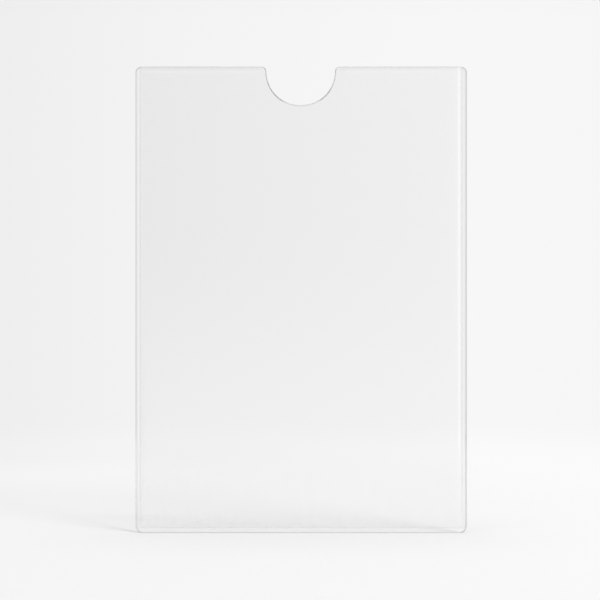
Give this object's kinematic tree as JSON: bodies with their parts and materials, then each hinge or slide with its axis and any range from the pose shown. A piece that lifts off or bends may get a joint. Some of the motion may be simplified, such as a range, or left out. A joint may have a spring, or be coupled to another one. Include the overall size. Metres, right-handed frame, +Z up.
{
  "type": "card sleeve",
  "caption": "Clear upright plastic sleeve for an A6 card, welded along its sides and bottom, open at the top with a half-round thumb notch.",
  "frame": {"origin": "middle of the bottom edge that the sleeve stands on", "axes": "+Z up the sleeve to its open mouth, +X to the right seen from the front, -Y out of the front sheet"},
  "size_m": [0.1114, 0.0014, 0.1564],
  "materials": {
    "clear_film": "glossy clear PVC film",
    "weld": "fused clear PVC, slightly wavy"
  },
  "bodies": {
    "root": {"front_sheet": "clear_film", "back_sheet": "clear_film", "left_weld": "weld", "right_weld": "weld", "bottom_weld": "weld", "left_corner_weld": "weld", "right_corner_weld": "weld"}
  },
  "joints": []
}
